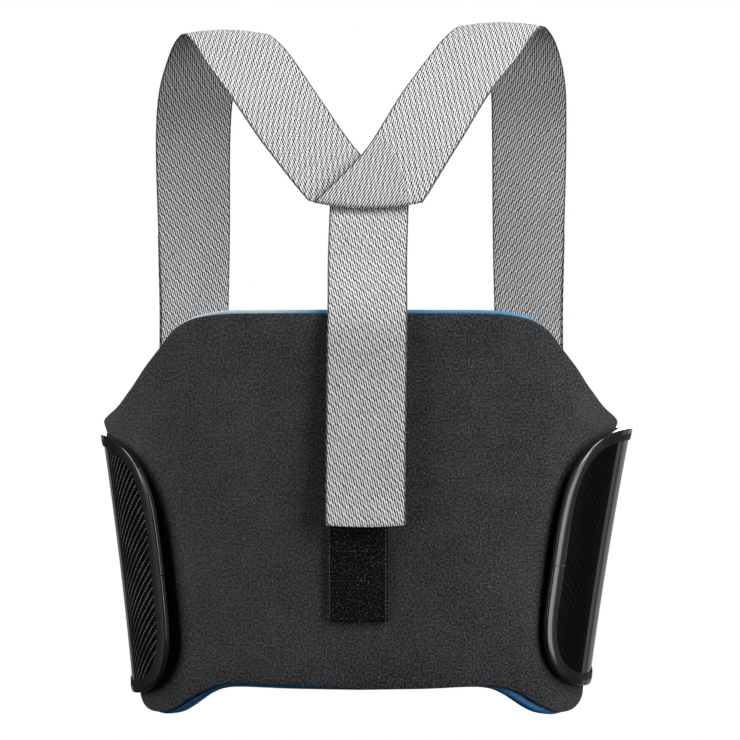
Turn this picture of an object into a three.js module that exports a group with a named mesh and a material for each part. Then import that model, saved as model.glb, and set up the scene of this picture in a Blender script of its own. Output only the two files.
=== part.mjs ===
// Rib protector vest in its worn form, in millimetres.
// +Z is up, the back of the vest faces -Y and +X is the wearer's right.
// The origin is on the axis of the torso at the level of the straight hem of the back.
import * as THREE from "three";
import { mergeVertices } from "three/addons/utils/BufferGeometryUtils.js";

// Torso section: a squared oval that widens with height
const HALF_WIDTH = 147.2;
const HALF_DEPTH = 105;
const WIDEN = 0.118;
const DEEPEN = 0.047;
const SQUARENESS = 2.8;
const PRESSED_IN = 1.6;
const PRESSED_LEVEL = 72;
const PRESSED_REACH = 95;
const PRESSED_EDGE = 2;
const GIRTH_STEPS = 160;

// Padded wrap: black cover, blue foam core and black lining
const COVER = 1.8;
const FOAM = 7;
const LINING = 1.6;
const GAP = 0.4;
const FRONT_SPLIT = 8;
const LEFT_HEM_DRIFT = 1.3;

// Side shells and their rubber edging
const SHELL_THICK = 1.6;
const SHELL_STANDOFF = 2.8;
const SHELL_REACH = 92;
const SHELL_LEVEL = 60;
const SHELL_UP = 98.7;
const SHELL_DOWN = 68;
const SHELL_HEM_RISE = 0.07;
const SHELL_SHEAR = 0.04;
const SHELL_TOP_SQUARENESS = 4.6;
const SHELL_LOW_SQUARENESS = 3.7;
const TRIM_WALL = 0.9;
const TRIM_BACK = 0.9;
const TRIM_LIP = 5.6;
const TRIM_EDGE = 2.4;
const TRIM_SLACK = 0.7;
const TRIM_SEAM = 0.6;
const TRIM_SEAM_TURN = 0.02;

// Webbing, tape and front band
const WEB_THICK = 1.2;
const WEB_HALF = 25;
const TURNBACK_GAP = 0.6;
const SHOULDER_RISE = 2.5;
const RIGHT_SPREAD = 3;
const TAPE_SHIFT = -1.5;
const TAPE_WIDTH = 38;
const TAPE_THICK = 2;
const TAPE_LOW = 42;
const TAPE_HIGH = 150;
const BAND_WIDTH = 150;
const BAND_LOW = 60;
const BAND_HIGH = 150;
const BAND_THICK = 2.5;

// Wrap outline: around is the share of the half girth from the middle of the back, in per cent, rim
// is how far the foam stands above the cover, hem is the lining's, lip is how far the foam's hem is
// above it, and bareLeft and bareRight are how far the cover's hem is above it on each side
const WRAP_ROWS = [
  { around: 0, top: 235.6, rim: 2.2, hem: -1.6, lip: 0, bareLeft: 0.8, bareRight: 0.8 },
  { around: 9, top: 235.6, rim: 2.2, hem: -1, lip: 0, bareLeft: 2, bareRight: 0.2 },
  { around: 17.7, top: 235.2, rim: 2.2, hem: -0.3, lip: 0, bareLeft: 2.4, bareRight: 0.7 },
  { around: 20, top: 234, rim: 2, hem: -1.5, lip: -0.2, bareLeft: 2.5, bareRight: 1.4 },
  { around: 22, top: 232, rim: 1.5, hem: -4.3, lip: -0.5, bareLeft: 2.4, bareRight: 3 },
  { around: 24.5, top: 226, rim: 0.8, hem: -9.9, lip: -0.6, bareLeft: 3.1, bareRight: 5 },
  { around: 27, top: 214, rim: 0.3, hem: -15.3, lip: -0.5, bareLeft: 2.7, bareRight: 4.5 },
  { around: 29.5, top: 202.5, rim: 0, hem: -18.9, lip: -0.2, bareLeft: 1.9, bareRight: 3.6 },
  { around: 33, top: 187, rim: 0, hem: -20.5, lip: 0, bareLeft: 1.1, bareRight: 1.3 },
  { around: 37.7, top: 174, rim: 0, hem: -18.4, lip: 0, bareLeft: 0, bareRight: 0 },
  { around: 45, top: 166.2, rim: 0, hem: -12, lip: 0, bareLeft: 0, bareRight: 0 },
  { around: 52, top: 164.5, rim: 0, hem: -8.5, lip: 0, bareLeft: 0, bareRight: 0 },
  { around: 61, top: 172, rim: 0, hem: -5, lip: 0, bareLeft: 0, bareRight: 0 },
  { around: 70, top: 194, rim: 0.6, hem: -1, lip: 0, bareLeft: 0, bareRight: 0 },
  { around: 80, top: 207, rim: 1.6, hem: 0, lip: 0, bareLeft: 0, bareRight: 0 },
  { around: 90, top: 210, rim: 2.2, hem: 0, lip: 0, bareLeft: 0, bareRight: 0 },
];

// Places of the two guards: forward moves one round towards the front, flare stands its back edge off
// the torso, lean tips its top out
const GUARD_ROWS = [
  { side: "left", sign: -1, inset: 0.8, lift: -2.5, forward: 1, flare: 4, lean: 0 },
  { side: "right", sign: 1, inset: 0, lift: 2.5, forward: -5.5, flare: 0, lean: 2.4 },
];

// Shoulder webbing from its sewn front end to the lower back: half is half the level width of a
// section, yaw turns a section about the upright, curl lifts its edges or lets them hang, each row
// mirrored for the left side
const SHOULDER_ROWS = [
  { x: 116, y: 99.5, z: 166, half: 25, yaw: 24, curl: 0 },
  { x: 116, y: 102.5, z: 206, half: 25, yaw: 24, curl: 0 },
  { x: 115.6, y: 101, z: 240, half: 25, yaw: 23, curl: 0 },
  { x: 115.3, y: 90, z: 293, half: 25, yaw: 12, curl: 0 },
  { x: 114.5, y: 64, z: 364, half: 25.5, yaw: 0, curl: 0 },
  { x: 111, y: 45, z: 391, half: 25.5, yaw: 0, curl: 0 },
  { x: 104, y: 28, z: 410.5, half: 26, yaw: 0, curl: -0.6 },
  { x: 97, y: 10, z: 422.6, half: 26.5, yaw: 0, curl: -1.8 },
  { x: 90, y: -3, z: 426.8, half: 27.5, yaw: 0, curl: -2.6 },
  { x: 81, y: -17, z: 418, half: 28.5, yaw: 0, curl: -1.8 },
  { x: 72, y: -29, z: 403.5, half: 29.5, yaw: 0, curl: -0.6 },
  { x: 54, y: -54, z: 376, half: 28.5, yaw: 0, curl: 0 },
  { x: 31, y: -77, z: 340, half: 28.5, yaw: 0, curl: 0 },
];

// Fold at the bottom of the V, the left layer under the right one: curl lifts the two corners
const FOLD_ROWS = [
  { x: 3, y: -93, z: 303.6, half: 36, curl: 3.6 },
  { x: 4.4, y: -94.6, z: 301.8, half: 32, curl: 4.4 },
  { x: 4.8, y: -95.9, z: 302.4, half: 34.5, curl: 3.6 },
];
const FOLD_LAYER = 2.9;
const FOLD_LEVEL = 305;
const LAYER_LEVEL = 376;
const FOLD_DRIFT = 3;

// Upright webbing from behind the V down the back to its free end
const BACK_ROWS = [
  { x: 5.6, y: -75.4, z: 334 },
  { x: 5.6, y: -89.4, z: 307 },
  { x: 5.2, y: -95.2, z: 296 },
  { x: 4.4, y: -106, z: 268 },
  { x: 4.4, y: -116.6, z: 242 },
  { x: 4.2, y: -119.6, z: 228 },
  { x: 3.8, y: -118.8, z: 190 },
  { x: 3.4, y: -118.4, z: 150 },
  { x: 3.2, y: -118.4, z: 122 },
  { x: 3.2, y: -119.4, z: 103 },
];

const FINISHES = {
  cover: { color: "#2d2d2f", roughness: 0.85, metalness: 0 },
  foam: { color: "#0a4f96", roughness: 0.8, metalness: 0 },
  carbon: { color: "#14110f", roughness: 0.18, metalness: 0 },
  rubber: { color: "#161616", roughness: 0.4, metalness: 0 },
  webbing: { color: "#bbb8b7", roughness: 0.9, metalness: 0 },
  tape: { color: "#181715", roughness: 1, metalness: 0 },
};

const MATERIALS = Object.fromEntries(
  Object.entries(FINISHES).map(([name, finish]) => [name, new THREE.MeshStandardMaterial(finish)]),
);

// Half width at a height, pressed in a little under the shells
function halfWidth(z) {
  const inside = Math.max(0, 1 - ((z - PRESSED_LEVEL) / PRESSED_REACH) ** PRESSED_EDGE);
  return HALF_WIDTH + WIDEN * z - PRESSED_IN * inside;
}

function halfDepth(z) {
  return HALF_DEPTH + DEEPEN * z;
}

// Point of the torso section at a bearing from the middle of the back
function sectionPoint(bearing, z) {
  const across = Math.sin(bearing);
  const back = Math.cos(bearing);
  const reach =
    (Math.abs(across) / halfWidth(z)) ** SQUARENESS + (Math.abs(back) / halfDepth(z)) ** SQUARENESS;
  const radius = reach ** (-1 / SQUARENESS);
  return new THREE.Vector2(radius * across, -radius * back);
}

// Outward direction of the torso section at one of its points
function sectionNormal(point, z) {
  const slope = SQUARENESS - 1;
  const nx = (Math.sign(point.x) * (Math.abs(point.x) / halfWidth(z)) ** slope) / halfWidth(z);
  const ny = (Math.sign(point.y) * (Math.abs(point.y) / halfDepth(z)) ** slope) / halfDepth(z);
  return new THREE.Vector2(nx, ny).normalize();
}

// Running lengths of the half girth at a height, from the middle of the back to the front
function girthLengths(z) {
  const lengths = [0];
  let last = sectionPoint(0, z);
  for (let i = 1; i <= GIRTH_STEPS; i += 1) {
    const next = sectionPoint((Math.PI * i) / GIRTH_STEPS, z);
    lengths.push(lengths[i - 1] + next.distanceTo(last));
    last = next;
  }
  return lengths;
}

function halfGirth(z) {
  return girthLengths(z)[GIRTH_STEPS];
}

// Point off the torso at a distance around it from the middle of the back, a height and an offset
function wrapPoint(distance, z, offset) {
  const lengths = girthLengths(z);
  const half = lengths[GIRTH_STEPS];
  const past = Math.abs(distance) > half;
  const along = past ? 2 * half - Math.abs(distance) : Math.abs(distance);
  const step = Math.max(1, lengths.findIndex((length) => length >= along));
  const part = (along - lengths[step - 1]) / (lengths[step] - lengths[step - 1]);
  const point = sectionPoint((Math.PI * (step - 1 + part)) / GIRTH_STEPS, z);
  const normal = sectionNormal(point, z);
  const side = past ? -Math.sign(distance) : Math.sign(distance);
  return new THREE.Vector3(
    (side || 1) * (point.x + offset * normal.x),
    point.y + offset * normal.y,
    z,
  );
}

// Moves each corner of a divided block to its place on the object
function shape(block, place) {
  const corners = block.getAttribute("position");
  const corner = new THREE.Vector3();
  for (let i = 0; i < corners.count; i += 1) {
    corner.fromBufferAttribute(corners, i);
    corners.setXYZ(i, ...place(corner).toArray());
  }
  block.deleteAttribute("normal");
  block.deleteAttribute("uv");
  const joined = mergeVertices(block, 1e-4);
  joined.computeVertexNormals();
  return joined;
}

function mesh(name, geometry, finish) {
  const made = new THREE.Mesh(geometry, MATERIALS[finish]);
  made.name = name;
  return made;
}

// One layer of the wrap between two offsets from the torso: rise lifts its upper edge and cut lifts
// its hem, each from a row of the outline and a side
function wrapLayer(inner, outer, rise, cut, rows) {
  const outlines = ["Left", "Right"].map(
    (side) =>
      new THREE.CatmullRomCurve3(
        WRAP_ROWS.map((row) => new THREE.Vector3(row.around, row.top + rise(row), row.hem + cut(row, side))),
      ),
  );
  const last = WRAP_ROWS[WRAP_ROWS.length - 1].around;
  const stations = 2 * 36;
  const block = new THREE.BoxGeometry(2, 1, 1, stations, rows, 1);
  return shape(block, (corner) => {
    const row = outlines[corner.x < 0 ? 0 : 1].getPoint(Math.abs(corner.x));
    const z = row.z + (row.y - row.z) * (corner.y + 0.5);
    const half = halfGirth(z);
    const end = half - FRONT_SPLIT / 2;
    const stretch = row.x > 45 ? 1 + ((row.x - 45) / (last - 45)) * (end / half / (last / 100) - 1) : 1;
    const low = corner.x < 0 ? 0.5 - corner.y : 0;
    const drift = LEFT_HEM_DRIFT * low * Math.sin(Math.PI * Math.min(row.x / 48, 1));
    const distance = ((row.x + drift) / 100) * half * stretch;
    return wrapPoint(Math.sign(corner.x) * distance, z, inner + (outer - inner) * (corner.z + 0.5));
  });
}

// Point of the shell's flat pattern: a rounded square, longer above its level than below, whose upper
// part leans to the back and whose lower edge rises to the front
function shellPattern(p, q) {
  const most = Math.max(Math.abs(p), Math.abs(q), 1e-9);
  const power = q > 0 ? SHELL_TOP_SQUARENESS : SHELL_LOW_SQUARENESS;
  const reach = (Math.abs(p) / most) ** power + (Math.abs(q) / most) ** power;
  const round = Math.max(reach, 1) ** (-1 / power);
  const high = q > 0 ? SHELL_UP : SHELL_DOWN * (1 - SHELL_HEM_RISE * (1 + p));
  const y = q * round * high;
  return new THREE.Vector2(p * round * SHELL_REACH - SHELL_SHEAR * y, y);
}

// Point over the right side of the torso, from its distance around the side and its height; the back
// edge flares off the torso
function sidePoint(flat, offset, forward, flare) {
  const z = SHELL_LEVEL + flat.y;
  const stand = flare * Math.max(0, -flat.x / SHELL_REACH) ** 2;
  return wrapPoint(halfGirth(z) / 2 + flat.x + forward, z, offset + stand);
}

function shellGeometry(forward, flare) {
  const block = new THREE.BoxGeometry(2, 2, 1, 15, 15, 1);
  return shape(block, (corner) =>
    sidePoint(
      shellPattern(corner.x, corner.y),
      SHELL_STANDOFF + SHELL_THICK * (corner.z + 0.5),
      forward,
      flare,
    ),
  );
}

// U section of the edging: x runs out past the shell's edge, y runs off the torso
function trimSection() {
  const low = SHELL_STANDOFF - TRIM_SLACK;
  const high = SHELL_STANDOFF + SHELL_THICK + TRIM_SLACK;
  const section = new THREE.Shape();
  section.moveTo(-TRIM_LIP, low - TRIM_BACK);
  section.lineTo(TRIM_EDGE - 1, low - TRIM_BACK);
  section.lineTo(TRIM_EDGE, low - TRIM_BACK / 2);
  section.lineTo(TRIM_EDGE, high + TRIM_WALL / 2);
  section.lineTo(TRIM_EDGE - 1, high + TRIM_WALL);
  section.lineTo(1 - TRIM_LIP, high + TRIM_WALL);
  section.lineTo(-TRIM_LIP, high + TRIM_WALL / 2);
  section.lineTo(-TRIM_LIP, high);
  section.lineTo(TRIM_SLACK, high);
  section.lineTo(TRIM_SLACK, low);
  section.lineTo(-TRIM_LIP, low);
  section.closePath();
  return section;
}

// Edging led once round the shell, from one side of its butt seam to the other
function trimGeometry(forward, flare) {
  const block = new THREE.ExtrudeGeometry(trimSection(), { depth: 1, steps: 54, bevelEnabled: false });
  const seam = TRIM_SEAM / (2 * Math.PI * SHELL_UP);
  const edgeAt = (turn) => {
    const bearing = Math.PI - 2 * Math.PI * turn;
    const most = Math.max(Math.abs(Math.cos(bearing)), Math.abs(Math.sin(bearing)));
    return shellPattern(Math.cos(bearing) / most, Math.sin(bearing) / most);
  };
  return shape(block, (corner) => {
    const turn = TRIM_SEAM_TURN + seam + (1 - 2 * seam) * corner.z;
    const edge = edgeAt(turn);
    const ahead = edgeAt(turn + 0.002).sub(edgeAt(turn - 0.002)).normalize();
    const flat = new THREE.Vector2(edge.x - ahead.y * corner.x, edge.y + ahead.x * corner.x);
    return sidePoint(flat, corner.y, forward, flare);
  });
}

// Ribbon along rows of level sections, its face moved off the path by an offset
function ribbon(rows, steps, offset, from, to) {
  const path = new THREE.CatmullRomCurve3(rows.map((row) => new THREE.Vector3(row.x, row.y, row.z)));
  const spread = new THREE.CatmullRomCurve3(
    rows.map((row) => new THREE.Vector3(row.half ?? WEB_HALF, row.yaw ?? 0, row.curl ?? 0)),
  );
  const block = new THREE.BoxGeometry(2, 1, 1, 3, 1, steps);
  return shape(block, (corner) => {
    const along = from + (to - from) * (corner.z + 0.5);
    const centre = path.getPoint(along);
    const [half, yaw, curl] = spread.getPoint(along).toArray();
    const turned = THREE.MathUtils.degToRad(yaw);
    const across = new THREE.Vector3(Math.cos(turned), Math.sin(turned), 0);
    const face = new THREE.Vector3().crossVectors(path.getTangent(along), across).normalize();
    const lift = new THREE.Vector3(0, 0, curl * corner.x ** 2);
    return centre
      .addScaledVector(across, half * corner.x)
      .addScaledVector(face, offset + WEB_THICK * corner.y)
      .add(lift);
  });
}

// Rows of one shoulder, from the front end to the V, lifted a little or let down on one side
function shoulderRows(side) {
  const layer = side > 0 ? FOLD_LAYER : 0;
  return SHOULDER_ROWS.map((row) => {
    const high = THREE.MathUtils.clamp((row.z - 240) / 180, 0, 1);
    const drop = (LAYER_LEVEL - row.z) / (LAYER_LEVEL - FOLD_LEVEL);
    const near = row.y < 0 ? THREE.MathUtils.clamp(drop, 0, 1) : 0;
    const crest = side > 0 ? THREE.MathUtils.clamp((row.z - 370) / 40, 0, 1) : 0;
    return {
      x: side * row.x + FOLD_DRIFT * near + RIGHT_SPREAD * crest,
      y: row.y - layer * near,
      z: row.z + side * SHOULDER_RISE * high,
      half: row.half,
      yaw: -side * row.yaw,
      curl: row.curl,
    };
  });
}

function shoulderPath() {
  return [...shoulderRows(-1), ...FOLD_ROWS, ...shoulderRows(1).reverse()];
}

function tapeGeometry() {
  const block = new THREE.BoxGeometry(TAPE_WIDTH, 1, 1, 4, 5, 1);
  return shape(block, (corner) =>
    wrapPoint(
      TAPE_SHIFT + corner.x,
      TAPE_LOW + (TAPE_HIGH - TAPE_LOW) * (corner.y + 0.5),
      GAP + TAPE_THICK * (corner.z + 0.5),
    ),
  );
}

function bandGeometry() {
  const block = new THREE.BoxGeometry(BAND_WIDTH, 1, 1, 10, 3, 1);
  return shape(block, (corner) => {
    const z = BAND_LOW + (BAND_HIGH - BAND_LOW) * (corner.y + 0.5);
    return wrapPoint(halfGirth(z) + corner.x, z, GAP + BAND_THICK * (corner.z + 0.5));
  });
}

const vest = new THREE.Group();
vest.name = "vest";

// Padded wrap
const foamOuter = -COVER - GAP;
const foamInner = foamOuter - FOAM;
const liningOuter = foamInner - GAP;
const level = () => 0;
const bareHem = (row, side) => row["bare" + side];
const foamTop = (row) => row.rim;
const foamHem = (row) => row.lip;
const wrap = new THREE.Group();
wrap.name = "wrap";
wrap.add(mesh("outer_cover", wrapLayer(-COVER, 0, level, bareHem, 5), "cover"));
wrap.add(mesh("foam_core", wrapLayer(foamInner, foamOuter, foamTop, foamHem, 4), "foam"));
wrap.add(mesh("inner_lining", wrapLayer(liningOuter - LINING, liningOuter, level, level, 4), "cover"));
wrap.add(mesh("front_closure", bandGeometry(), "tape"));
wrap.add(mesh("hook_patch", tapeGeometry(), "tape"));
vest.add(wrap);

// Side guards, each tipped about its lower edge
const leanPivot = sidePoint(new THREE.Vector2(0, -SHELL_DOWN), 0, 0, 0);
for (const { side, sign, inset, lift, forward, flare, lean } of GUARD_ROWS) {
  const shell = mesh("carbon_shell_" + side, shellGeometry(forward, flare), "carbon");
  const trim = mesh("shell_trim_" + side, trimGeometry(forward, flare), "rubber");
  const guard = new THREE.Group();
  guard.name = "side_guard_" + side;
  guard.add(shell, trim);
  for (const piece of [shell, trim]) {
    piece.geometry.translate(-leanPivot.x, -leanPivot.y, -leanPivot.z);
    piece.scale.x = sign;
  }
  guard.position.set(sign * (leanPivot.x - inset), leanPivot.y, leanPivot.z + lift);
  guard.rotation.y = sign * THREE.MathUtils.degToRad(lean);
  vest.add(guard);
}

// Webbing braces
const braces = new THREE.Group();
braces.name = "braces";
const path = shoulderPath();
const rowShare = 1 / (path.length - 1);
const backing = WEB_THICK + TURNBACK_GAP;
braces.add(mesh("shoulder_strap", ribbon(path, 84, 0, 0, 1), "webbing"));
braces.add(mesh("strap_turnback_left", ribbon(path, 14, backing, 0, 3 * rowShare), "webbing"));
braces.add(mesh("strap_turnback_right", ribbon(path, 14, -backing, 1 - 3 * rowShare, 1), "webbing"));
braces.add(mesh("back_strap", ribbon(BACK_ROWS, 32, 0, 0, 1), "webbing"));
vest.add(braces);

export default vest;
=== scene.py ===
"""Rib protector vest in its worn form: soft goods, side shells, finishes, light and camera.

Shapes are in millimetres while they are modelled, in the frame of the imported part, and are scaled
to metres when a piece is made.
"""

import logging
import math
from collections.abc import Callable, Sequence
from dataclasses import dataclass, field
from enum import Enum
from typing import NamedTuple

import bmesh
import bpy
import numpy as np
from mathutils import Matrix, Vector


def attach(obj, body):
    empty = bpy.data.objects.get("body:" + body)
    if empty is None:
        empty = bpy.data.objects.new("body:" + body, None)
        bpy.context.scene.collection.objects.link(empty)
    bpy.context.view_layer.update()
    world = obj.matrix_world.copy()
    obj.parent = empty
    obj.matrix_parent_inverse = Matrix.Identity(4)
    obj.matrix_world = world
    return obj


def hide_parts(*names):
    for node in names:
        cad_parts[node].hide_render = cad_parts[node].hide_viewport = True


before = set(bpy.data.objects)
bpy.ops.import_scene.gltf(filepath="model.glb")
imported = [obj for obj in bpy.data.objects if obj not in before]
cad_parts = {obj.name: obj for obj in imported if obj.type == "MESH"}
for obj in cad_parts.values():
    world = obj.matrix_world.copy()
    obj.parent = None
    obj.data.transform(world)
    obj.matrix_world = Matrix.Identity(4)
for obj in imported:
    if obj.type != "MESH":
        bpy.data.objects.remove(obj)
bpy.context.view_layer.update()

LOG = logging.getLogger("vest")
MM = 0.001
BODY = "root"
FLAT = "flat"

Array = np.ndarray
Colour = tuple[float, float, float]
Span = tuple[float, float]
Placer = Callable[[Array], Array]
Mesh = bmesh.types.BMesh
Node = bpy.types.Node
Socket = bpy.types.NodeSocket


class Side(Enum):
    """Side of the vest, by the sign of its x."""

    LEFT = -1
    RIGHT = 1


class Slot(Enum):
    """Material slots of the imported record."""

    COVER = "cover"
    FOAM = "foam"
    LINING = "lining"
    CARBON = "carbon"
    TRIM = "trim"
    WEBBING = "webbing"
    TAPE = "tape"


# Curves and the torso that everything lies on


class SmoothPath:
    """Smooth curve through rows of numbers, evenly shared between the rows."""

    least_gap = 1e-4

    def __init__(self, rows: Sequence[Sequence[float]]) -> None:
        """Keeps the rows that the curve passes through."""
        self.rows = np.array(rows, float)

    def point(self, share: float) -> Array:
        """Finds a point of the curve.

        Args:
            share: place along the curve, from 0 to 1.

        Returns:
            The row of numbers there.
        """
        rows = self.rows
        last = len(rows) - 1
        span = min(max(share, 0.0), 1.0) * last
        i = min(int(span), last - 1)
        before = rows[i - 1] if i > 0 else 2 * rows[0] - rows[1]
        after = rows[i + 2] if i + 2 <= last else 2 * rows[last] - rows[last - 1]
        start, end = rows[i], rows[i + 1]
        legs = ((before, start), (start, end), (end, after))
        first, middle, third = (float(np.linalg.norm(b - a)) ** 0.5 for a, b in legs)
        middle = middle if middle > self.least_gap else 1.0
        first = first if first > self.least_gap else middle
        third = third if third > self.least_gap else middle
        leave = (start - before) / first - (end - before) / (first + middle) + (end - start) / middle
        arrive = (end - start) / middle - (after - start) / (middle + third) + (after - end) / third
        leave, arrive = leave * middle, arrive * middle
        w = span - i
        square = -3 * start + 3 * end - 2 * leave - arrive
        cube = 2 * start - 2 * end + leave + arrive
        return start + leave * w + square * w**2 + cube * w**3

    def points(self, shares: Array) -> Array:
        """Finds many points of the curve, one row for each share."""
        return np.array([self.point(float(share)) for share in shares])


@dataclass(frozen=True)
class Torso:
    """Squared oval that widens with height, which the wrap and the shells lie on."""

    half_width: float = 147.2
    half_depth: float = 105.0
    widen: float = 0.118
    deepen: float = 0.047
    squareness: float = 2.8
    pressed_in: float = 1.6
    pressed_level: float = 72.0
    pressed_reach: float = 95.0
    steps: int = 160
    chunk: int = 4000

    def widths(self, z: Array) -> Array:
        """Half widths at heights, pressed in a little under the shells."""
        inside = np.maximum(0, 1 - ((z - self.pressed_level) / self.pressed_reach) ** 2)
        return self.half_width + self.widen * z - self.pressed_in * inside

    def depths(self, z: Array) -> Array:
        """Half depths at heights."""
        return self.half_depth + self.deepen * z

    def section(self, bearing: Array, z: Array) -> tuple[Array, Array]:
        """Finds points of the oval.

        Args:
            bearing: angles from the middle of the back.
            z: heights, of a shape that goes with the bearings.

        Returns:
            The x and the y of the points.
        """
        across, back = np.sin(bearing), np.cos(bearing)
        n = self.squareness
        reach = (np.abs(across) / self.widths(z)) ** n + (np.abs(back) / self.depths(z)) ** n
        radius = reach ** (-1 / n)
        return radius * across, -radius * back

    def lengths(self, z: Array) -> Array:
        """Measures the half girth.

        Args:
            z: heights.

        Returns:
            Running lengths from the middle of the back, one row for each height.
        """
        bearing = np.linspace(0, math.pi, self.steps + 1)[None]
        x, y = self.section(bearing, z[:, None])
        runs = np.hypot(np.diff(x, axis=1), np.diff(y, axis=1))
        return np.concatenate([np.zeros((len(z), 1)), np.cumsum(runs, axis=1)], axis=1)

    def in_lots(self, rows: Array, work: Placer) -> Array:
        """Does work on rows, a lot at a time."""
        starts = range(0, len(rows), self.chunk)
        return np.concatenate([work(rows[i : i + self.chunk]) for i in starts])

    def half_girth(self, z: Array) -> Array:
        """Half girths at heights."""
        return self.in_lots(z, lambda lot: self.lengths(lot)[:, -1])

    def place(self, flat: Array) -> Array:
        """Wraps flat rows round the torso.

        Args:
            flat: rows of distance round from the middle of the back, height and offset outwards.

        Returns:
            Rows of x, y and z.
        """
        return self.in_lots(flat, self.place_lot)

    def place_lot(self, flat: Array) -> Array:
        """Wraps one lot of flat rows, as place does.

        Args:
            flat: rows of distance, height and offset.

        Returns:
            Rows of x, y and z.
        """
        distance, z, offset = flat.T
        lengths = self.lengths(z)
        half = lengths[:, -1]
        past = np.abs(distance) > half
        along = np.where(past, 2 * half - np.abs(distance), np.abs(distance))
        step = np.clip((lengths < along[:, None]).sum(axis=1), 1, self.steps)
        rows = np.arange(len(z))
        low, high = lengths[rows, step - 1], lengths[rows, step]
        bearing = math.pi * (step - 1 + (along - low) / (high - low)) / self.steps
        x, y = self.section(bearing, z)
        slope = self.squareness - 1
        nx = np.sign(x) * (np.abs(x) / self.widths(z)) ** slope / self.widths(z)
        ny = np.sign(y) * (np.abs(y) / self.depths(z)) ** slope / self.depths(z)
        size = np.hypot(nx, ny)
        side = np.where(distance < 0, -1.0, 1.0) * np.where(past, -1.0, 1.0)
        return np.stack([side * (x + offset * nx / size), y + offset * ny / size, z], axis=1)


@dataclass(frozen=True)
class Slack:
    """Soft unevenness of the wrap, which swells above the shells."""

    swell: float = 2.2
    swell_level: float = 167.0
    swell_reach: float = 9.0
    swell_start: float = 150.0
    swell_run: float = 40.0
    slow: float = 0.55
    quick: float = 0.16

    def lift(self, distance: Array, z: Array) -> Array:
        """Finds the unevenness, from waves of a few centimetres.

        Args:
            distance: distances round from the middle of the back.
            z: heights.

        Returns:
            Offsets outwards, the same for every layer of the wrap.
        """
        out = np.clip((np.abs(distance) - self.swell_start) / self.swell_run, 0, 1)
        swell = np.exp(-(((z - self.swell_level) / self.swell_reach) ** 2)) * out
        sway = 0.4 * np.sin(z / 37)
        slow = np.sin(distance / 51 + 1.3 + sway) * np.sin(z / 46 - distance / 140 + 0.7)
        quick = np.sin(distance / 19 + z / 33) * np.sin(z / 27 - distance / 71 + 2.1)
        return self.slow * slow + self.quick * quick + self.swell * swell


# Mesh work shared by the pieces


def grid(columns: int, rows: int) -> Mesh:
    """Makes a flat grid from -1 to 1 both ways.

    Args:
        columns: faces along x.
        rows: faces along y.

    Returns:
        The new mesh.
    """
    bm = bmesh.new()
    bmesh.ops.create_grid(bm, x_segments=columns, y_segments=rows, size=1.0)
    return bm


def corners(bm: Mesh) -> Array:
    """Rows of the places of a mesh's corners."""
    return np.array([v.co for v in bm.verts], float)


def move(bm: Mesh, place: Placer) -> None:
    """Moves every corner of a mesh to the row that place gives for it."""
    for vert, row in zip(bm.verts, place(corners(bm))):
        vert.co = row


def thicken(bm: Mesh, low: float, high: float, radius: float, segments: int) -> None:
    """Makes a flat sheet a plate with a rounded rim.

    Args:
        bm: flat sheet, at z 0.
        low: z of the plate's under side.
        high: z of its upper side.
        radius: radius of the rim's edges.
        segments: faces across each rounded edge.
    """
    made = bmesh.ops.extrude_face_region(bm, geom=bm.faces[:])
    upper = [part for part in made["geom"] if isinstance(part, bmesh.types.BMVert)]
    bmesh.ops.translate(bm, vec=(0, 0, high - low), verts=upper)
    bmesh.ops.translate(bm, vec=(0, 0, low), verts=bm.verts[:])
    bmesh.ops.recalc_face_normals(bm, faces=bm.faces[:])
    rim = [edge for edge in bm.edges if edge.calc_face_angle(0) > 1.0]
    bmesh.ops.bevel(
        bm, geom=rim, offset=radius, segments=segments, profile=0.5, affect="EDGES", material=-1
    )


def settle(bm: Mesh, place: Placer, flat: Placer | None = None) -> None:
    """Keeps the flat places of a mesh for its pattern, then puts the mesh on the object.

    Args:
        bm: mesh in its flat form.
        place: gives the rows on the object for the flat rows.
        flat: gives the pattern's rows for the flat rows, where they differ.
    """
    rows = corners(bm)
    layer = bm.verts.layers.float_vector.new(FLAT)
    for vert, row in zip(bm.verts, rows if flat is None else flat(rows)):
        vert[layer] = Vector(row)
    move(bm, place)


def piece(name: str, bm: Mesh, finish: "Finish", node: str) -> bpy.types.Object:
    """Makes a piece of the object from a mesh in millimetres.

    Args:
        name: name of the piece.
        bm: its mesh, which is used up.
        finish: its finish.
        node: node of the part that it stands for.

    Returns:
        The new object, riding on the body.
    """
    bmesh.ops.scale(bm, vec=(MM, MM, MM), verts=bm.verts[:])
    bmesh.ops.recalc_face_normals(bm, faces=bm.faces[:])
    for face in bm.faces:
        face.smooth = True
    mesh = bpy.data.meshes.new(name)
    bm.to_mesh(mesh)
    bm.free()
    mesh.materials.append(finish.material())
    made = bpy.data.objects.new(name, mesh)
    bpy.context.scene.collection.objects.link(made)
    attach(made, BODY)
    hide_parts(node)
    LOG.info("%s: %d faces", name, len(mesh.polygons))
    return made


# Shader nodes


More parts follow.
